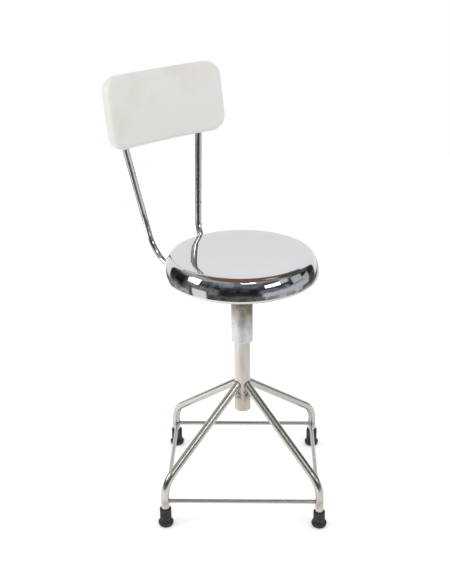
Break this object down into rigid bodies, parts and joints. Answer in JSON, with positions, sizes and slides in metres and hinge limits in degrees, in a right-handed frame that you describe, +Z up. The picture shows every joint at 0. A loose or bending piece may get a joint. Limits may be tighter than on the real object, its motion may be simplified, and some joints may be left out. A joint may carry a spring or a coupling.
{
  "type": "revolving stool with backrest",
  "caption": "Revolving screw-lift metal stool: round mirror-bright seat, padded backrest on bent rods, column on bent tube legs tied by stretchers, rubber feet.",
  "frame": {"origin": "on the floor under the column's axis, on the plane of the four rubber feet", "axes": "+Z up along the column, +Y towards the backrest, +X completing a right-handed set, which is on the sitter's left"},
  "size_m": [0.5434, 0.5854, 0.9996],
  "materials": {
    "satin_steel": "satin polished steel tube",
    "bronze": "turned bronze",
    "nylon": "turned nylon",
    "mirror_chrome": "mirror polished plating",
    "bright_chrome": "bright plating",
    "plywood": "sealed plywood",
    "cast_iron": "grey painted casting",
    "zinc_screws": "zinc plated",
    "plain_steel": "plain drawn steel",
    "dull_sleeve": "dull worn plating",
    "black_plastic": "moulded plastic",
    "black_rubber": "moulded rubber",
    "white_vinyl": "smooth coated cloth"
  },
  "bodies": {
    "base": {"column_tube": "satin_steel", "spindle_nut": "bronze", "leg_right": "satin_steel", "leg_rear": "satin_steel", "leg_left": "satin_steel", "leg_front": "satin_steel", "stretcher_right_rear": "satin_steel", "stretcher_rear_left": "satin_steel", "stretcher_left_front": "satin_steel", "stretcher_front_right": "satin_steel", "foot_right": "black_rubber", "foot_rear": "black_rubber", "foot_left": "black_rubber", "foot_front": "black_rubber", "foot_discs": "plain_steel"},
    "guide": {"guide_ring": "nylon"},
    "seat": {"seat_shell": "mirror_chrome", "seat_core": "plywood", "mounting_flange": "cast_iron", "flange_screws": "zinc_screws", "spindle": "plain_steel", "spindle_pin": "plain_steel", "stop_collar": "plain_steel", "collar_pin": "plain_steel", "sleeve": "dull_sleeve", "sleeve_screws": "plain_steel", "ring_clip": "plain_steel", "rod_left": "bright_chrome", "rod_right": "bright_chrome", "rod_plugs": "black_plastic", "bearer_front": "plain_steel", "bearer_rear": "plain_steel", "bearer_screws": "zinc_screws", "rod_bolts": "zinc_screws", "backrest_board": "plywood", "backrest_pad": "white_vinyl", "backrest_cover": "white_vinyl", "backrest_saddles": "black_plastic", "backrest_bolts": "zinc_screws"}
  },
  "joints": [
    {"name": "seat_lift", "type": "slide", "parent": "base", "child": "guide", "axis": [0, 0, 1], "range_m": [-0.089, 0.038]},
    {"name": "seat_turn", "type": "hinge", "parent": "guide", "child": "seat", "pos_m": [0, 0, 0.45], "axis": [0, 0, 1], "range_deg": [-3204, 1368]}
  ],
  "couplings": [
    {"joint": "seat_lift", "follows": "seat_turn", "m_per_rad": 0.0015915}
  ]
}
